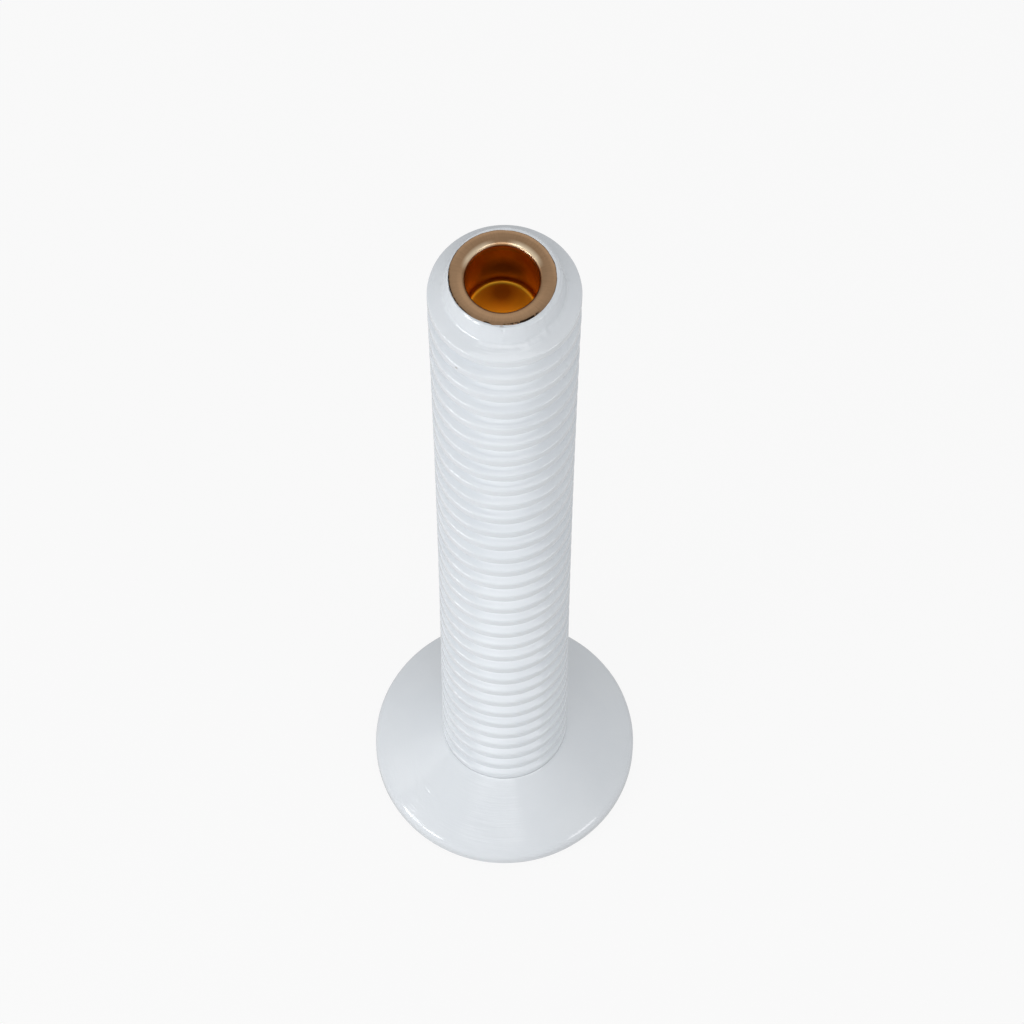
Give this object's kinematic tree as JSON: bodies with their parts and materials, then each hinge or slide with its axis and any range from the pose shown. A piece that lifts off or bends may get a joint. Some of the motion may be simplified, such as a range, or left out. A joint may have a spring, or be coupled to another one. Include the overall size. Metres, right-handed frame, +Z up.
{
  "type": "candle holder",
  "caption": "Tall free-standing candle holder: a ringed white lacquered stem on a conical round base, with a brass cup for a dinner candle.",
  "frame": {"origin": "on the table, under the stem's axis, at the felt's underside", "axes": "+Z up along the stem's axis; the pictured front faces -Y; +X is to the right in the picture"},
  "size_m": [0.0944, 0.0944, 0.3648],
  "materials": {
    "stem_lacquer": "gloss white lacquer",
    "base_lacquer": "gloss white lacquer",
    "brass": "satin brushed",
    "screw_steel": "zinc plated",
    "washer_steel": "zinc plated",
    "felt": "pressed felt"
  },
  "bodies": {
    "root": {"stem": "stem_lacquer", "base": "base_lacquer", "candle_cup": "brass", "base_screw": "screw_steel", "screw_washer": "washer_steel", "felt_pad": "felt"}
  },
  "joints": []
}
